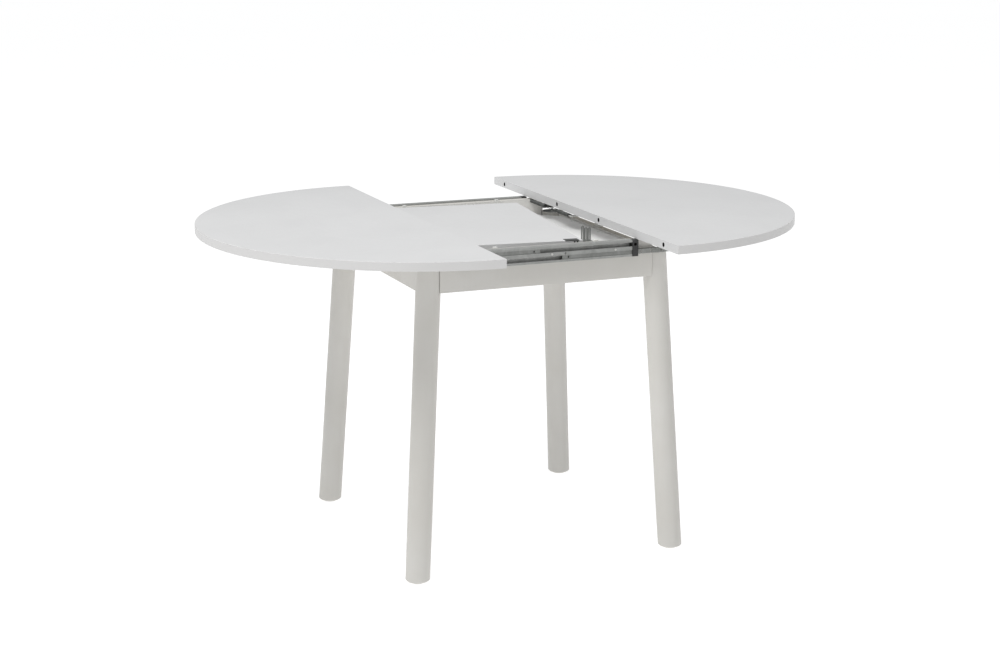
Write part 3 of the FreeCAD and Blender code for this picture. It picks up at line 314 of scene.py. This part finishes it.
def plated_steel(name, light, dark, rough, drawn=(2.0, 60.0, 60.0), metal=0.9, inner=None, inner_width=0.0):
    """Rolled, plated steel: drawn lines, cloudy plating, and edges lightened, partly wear and partly a
    painted highlight. A rail's web takes the inner colour, painted light inside the tracks.
    """
    material, tree, shader = new_material(name)
    place = object_coordinates(tree)
    lines = noise(tree, object_coordinates(tree, drawn), 22.0, 4.0, 0.65)
    cloud = noise(tree, place, 45.0, 5.0, 0.65, 0.8)
    tone = colour_mix(tree, spread(tree, cloud, 0.35, 0.68), light, dark)
    tone = colour_mix(tree, spread(tree, lines, 0.45, 0.75, 0.0, 0.35), tone, dark)
    if inner:
        # Painted light: the web inside the rail's tracks is near white, in place of the light there
        tone = colour_mix(tree, recessed(tree, inner_width), tone, colour_mix(tree, cloud, inner, light))
    # Edges lighter: partly wear, partly a painted highlight
    edge_rub_and_highlight = tuple(min(1.0, 1.45 * channel) for channel in light)
    tone = colour_mix(tree, combine(tree, "MULTIPLY", wear_and_highlight_edges(tree, 0.0005), 0.7), tone, edge_rub_and_highlight)
    tree.links.new(tone, shader.inputs["Base Color"])
    tree.links.new(spread(tree, cloud, 0.3, 0.7, rough - 0.07, rough + 0.10), shader.inputs["Roughness"])
    shader.inputs["Metallic"].default_value = metal
    bump(tree, shader, lines, 0.00003)
    return material


def moulded_plastic(name, light, dark, rough, depth=0.00003):
    """Moulded plastic with a fine spark-eroded skin and edges lightened, partly wear and partly a painted
    highlight.
    """
    material, tree, shader = new_material(name)
    place = object_coordinates(tree)
    cloud = noise(tree, place, 60.0, 3.0, 0.55)
    skin = noise(tree, place, 1500.0, 2.0, 0.6)
    tone = colour_mix(tree, spread(tree, cloud, 0.35, 0.65), light, dark)
    # Edges lighter: partly wear, partly a painted highlight
    edge_rub_and_highlight = tuple(min(1.0, 1.35 * channel + 0.01) for channel in light)
    tone = colour_mix(tree, combine(tree, "MULTIPLY", wear_and_highlight_edges(tree, 0.0004), 0.6), tone, edge_rub_and_highlight)
    tree.links.new(tone, shader.inputs["Base Color"])
    tree.links.new(spread(tree, skin, 0.3, 0.7, rough - 0.06, rough + 0.08), shader.inputs["Roughness"])
    bump(tree, shader, skin, depth)
    return material


def finishes():
    """One material for each of the record's material slots, and those that only some nodes have."""
    return {
        "white_laminate": coated_board("white_laminate", (0.63, 0.63, 0.63), (0.605, 0.605, 0.605), 0.40,
                                       (0.66, 0.66, 0.66)),
        "white_edging": coated_board("white_edging", (0.64, 0.635, 0.63), (0.61, 0.605, 0.60), 0.42,
                                     (0.68, 0.68, 0.67), 0.00001, 700.0),
        # Painted light: the white board is whiter than the laminate, to brighten the shaded bay under the top
        "white_board": coated_board("white_board", (0.87, 0.87, 0.86), (0.83, 0.83, 0.82), 0.50,
                                    (0.60, 0.57, 0.50)),
        "cream_paint": painted_wood("cream_paint", CREAM, CREAM_SHADE),
        # Frame finishes with painted light: their inner faces are paler
        "frame_paint_painted_light": painted_wood("frame_paint_painted_light", CREAM, CREAM_SHADE, inner=CREAM_INNER_PAINTED_LIGHT),
        "frame_paint_painted_light_bare_top": painted_wood("frame_paint_painted_light_bare_top", CREAM, CREAM_SHADE, CREAM_INNER_PAINTED_LIGHT, True),
        "raw_wood": bare_wood("raw_wood", (0.46, 0.36, 0.23), (0.35, 0.26, 0.16), (9.0, 9.0, 60.0)),
        "beech_dowel": bare_wood("beech_dowel", (0.52, 0.36, 0.20), (0.42, 0.28, 0.15), (30.0, 260.0, 260.0)),
        "zinc_steel": plated_steel("zinc_steel", (0.27, 0.275, 0.265), (0.205, 0.21, 0.20), 0.58, metal=0.45),
        # Painted light: the rail's zinc is lighter than the other zinc and its web near white, to brighten
        # the shaded tracks
        "zinc_rail_painted_light": plated_steel("zinc_rail_painted_light", (0.34, 0.345, 0.335), (0.26, 0.265, 0.255), 0.55, metal=0.3,
                                  inner=(0.90, 0.90, 0.88),
                                  inner_width=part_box("slide_rail_rear")[1].y - 0.006),
        "white_lacquer": moulded_plastic("white_lacquer", (0.66, 0.66, 0.63), (0.61, 0.61, 0.58), 0.35,
                                         0.00001),
        "dark_steel": plated_steel("dark_steel", (0.13, 0.135, 0.13), (0.075, 0.078, 0.075), 0.50,
                                   (60.0, 60.0, 60.0), metal=0.6),
        "bolt_steel": plated_steel("bolt_steel", (0.58, 0.58, 0.56), (0.42, 0.42, 0.40), 0.30,
                                   (60.0, 60.0, 60.0)),
        "cage_brass": plated_steel("cage_brass", (0.42, 0.34, 0.17), (0.30, 0.24, 0.12), 0.36),
        "black_plastic": moulded_plastic("black_plastic", (0.022, 0.022, 0.022), (0.014, 0.014, 0.014), 0.45),
        "white_plastic": moulded_plastic("white_plastic", (0.78, 0.78, 0.75), (0.70, 0.70, 0.67), 0.40),
    }


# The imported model's nodes

def node_slots():
    """The material slot of each CAD node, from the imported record."""
    return {part["node"]: part["material_slot"] for part in frame["record"]["subparts"]}


def give_finish(item, material):
    """Puts one material on all of an object."""
    item.data.materials.clear()
    item.data.materials.append(material)


def soften_edges(item, width):
    """Rounds the sharp edges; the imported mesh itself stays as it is."""
    weld = item.modifiers.new("weld", "WELD")
    weld.merge_threshold = 0.000005
    bevel = item.modifiers.new("bevel", "BEVEL")
    bevel.width = width
    bevel.segments = 3
    bevel.limit_method = "ANGLE"
    bevel.angle_limit = SHARP_ANGLE
    bevel.harden_normals = True
    bevel.use_clamp_overlap = True


def dress_packed_nodes(materials):
    """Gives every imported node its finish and, on the frame's boards and blocks, rounded edges."""
    slots = node_slots()
    for name, item in frame["nodes"].items():
        slot = slots[name]
        give_finish(item, materials[SPECIAL_FINISHES.get(name, slot)])
        if name in BOARD_NODES:
            soften_edges(item, BOARD_EDGE)


# Springs: wound wire with long end loops, in place of the plain tubes

def wound_wire(coil, loop_ends, turns_of_loops, radius, loop_radius):
    """Points of one spring along +Y: loop, coil, loop. A loop lies level at 0 and upright at 1."""
    start, finish = coil
    first_angle, last_angle = (math.pi / 2 * turn for turn in turns_of_loops)
    turns = round((finish - start) / SPRING_PITCH)
    sweep = 2 * math.pi * turns + last_angle - first_angle
    steps = turns * SPRING_STEPS
    points = end_loop(start, loop_ends[0], first_angle, loop_radius)[::-1]
    for step in range(steps + 1):
        share = step / steps
        angle = first_angle + sweep * share
        along = start + (finish - start) * share
        points.append((radius * math.cos(angle), along, radius * math.sin(angle)))
    return points + end_loop(finish, loop_ends[1], last_angle, loop_radius)


def end_loop(root, tip, angle, radius):
    """Points of a long open loop from a coil's end, out to its tip and back."""
    outward = 1 if tip > root else -1
    bend = tip - outward * radius
    across = (math.cos(angle), math.sin(angle))
    points = []
    for step in range(SPRING_LOOP_STEPS + 1):
        turn = math.pi * step / SPRING_LOOP_STEPS
        side = radius * math.cos(turn)
        along = bend + outward * radius * math.sin(turn)
        points.append((side * across[0], along, side * across[1]))
    points.append((-radius * across[0], root + outward * 2 * SPRING_WIRE, -radius * across[1]))
    return points


def wire_spline(curve, points, centre_x, centre_z):
    """Adds one run of wire to a curve."""
    spline = curve.splines.new("POLY")
    spline.points.add(len(points) - 1)
    for point, (x, y, z) in zip(spline.points, points):
        point.co = (centre_x + x, y, centre_z + z, 1.0)


def build_springs(material):
    """Both tension springs as one piece, on the axis of the CAD tubes."""
    low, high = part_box("tension_springs")
    radius = (high.z - low.z) / 2 - SPRING_WIRE / 2
    centre_x = (low.x + high.x) / 2
    centre_z = (low.z + high.z) / 2
    loop_radius = radius - SPRING_WIRE / 2
    inset = SPRING_WIRE / 2
    rear_ends = (SPRING_MEETING - loop_radius / 2, high.y - inset)
    front_ends = (low.y + inset, SPRING_MEETING + loop_radius / 2)
    rear = wound_wire(REAR_COIL, rear_ends, (0, 1), radius, loop_radius)
    front = wound_wire(FRONT_COIL, front_ends, (1, 1), radius, loop_radius)
    curve = bpy.data.curves.new("springs", "CURVE")
    curve.dimensions = "3D"
    curve.bevel_depth = SPRING_WIRE / 2
    curve.bevel_resolution = 2
    curve.use_fill_caps = True
    for points in (rear, front):
        wire_spline(curve, points, centre_x, centre_z)
    springs = bpy.data.objects.new("springs_wound", curve)
    bpy.context.scene.collection.objects.link(springs)
    give_finish(springs, material)
    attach(springs, "base")
    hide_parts("tension_springs")


# Studio

def build_floor():
    """A plain pale floor, not part of the object."""
    half = FLOOR_SIZE / 2
    mesh = bpy.data.meshes.new("floor")
    corners = [(-half, -half, 0), (half, -half, 0), (half, half, 0), (-half, half, 0)]
    mesh.from_pydata(corners, [], [(0, 1, 2, 3)])
    floor = bpy.data.objects.new("floor", mesh)
    bpy.context.scene.collection.objects.link(floor)
    material, tree, shader = new_material("studio_floor")
    place = object_coordinates(tree)
    tone = colour_mix(tree, noise(tree, place, 0.7, 3.0, 0.5), (0.49, 0.49, 0.49), (0.52, 0.52, 0.52))
    tree.links.new(tone, shader.inputs["Base Color"])
    shader.inputs["Emission Color"].default_value = (1.0, 1.0, 1.0, 1.0)
    shader.inputs["Emission Strength"].default_value = FLOOR_GLOW
    tree.links.new(spread(tree, noise(tree, place, 6.0), 0.3, 0.7, 0.80, 0.90), shader.inputs["Roughness"])
    bump(tree, shader, noise(tree, place, 220.0), 0.00005)
    give_finish(floor, material)


def build_world():
    """Even, nearly white light from all round."""
    world = bpy.data.worlds.new("studio")
    world.use_nodes = True
    background = world.node_tree.nodes["Background"]
    background.inputs["Color"].default_value = WORLD_COLOUR
    background.inputs["Strength"].default_value = WORLD_STRENGTH
    bpy.context.scene.world = world


def area_light(name, place, target, size, power):
    """A square soft light that looks at a place."""
    data = bpy.data.lights.new(name, "AREA")
    data.shape = "SQUARE"
    data.size = size
    data.energy = power
    item = bpy.data.objects.new(name, data)
    bpy.context.scene.collection.objects.link(item)
    item.location = place
    item.rotation_mode = "QUATERNION"
    item.rotation_quaternion = (Vector(target) - Vector(place)).to_track_quat("-Z", "Y")


def build_lights():
    """A soft key light from the upper left and a weaker one above."""
    middle = (cad_low + cad_high) / 2
    area_light("key", (-2.0, -1.1, 4.2), middle, 1.8, 115.0)
    area_light("overhead", (0.8, -0.1, 3.7), middle, 2.5, 36.0)


def camera_matrix():
    """The camera's axes and place as one matrix."""
    forward = Vector((math.sin(CAMERA_YAW) * math.cos(CAMERA_PITCH),
                      math.cos(CAMERA_YAW) * math.cos(CAMERA_PITCH),
                      -math.sin(CAMERA_PITCH)))
    level_right = Vector((math.cos(CAMERA_YAW), -math.sin(CAMERA_YAW), 0.0))
    level_up = level_right.cross(forward)
    right = level_right * math.cos(CAMERA_ROLL) + level_up * math.sin(CAMERA_ROLL)
    up = level_up * math.cos(CAMERA_ROLL) - level_right * math.sin(CAMERA_ROLL)
    turned = Matrix((right, up, -forward)).transposed().to_4x4()
    return Matrix.Translation(CAMERA_PLACE) @ turned


def build_camera():
    """The camera, at the height and angle from which the table is shown."""
    data = bpy.data.cameras.new("camera")
    data.sensor_fit = "HORIZONTAL"
    data.sensor_width = SENSOR_WIDTH
    data.lens = CAMERA_LENS
    camera = bpy.data.objects.new("camera", data)
    bpy.context.scene.collection.objects.link(camera)
    camera.matrix_world = camera_matrix()
    bpy.context.scene.camera = camera


bpy.context.scene.view_settings.view_transform = "Standard"
build_camera()
build_world()
build_lights()
build_floor()
materials = finishes()
dress_packed_nodes(materials)
build_springs(materials["dark_steel"])
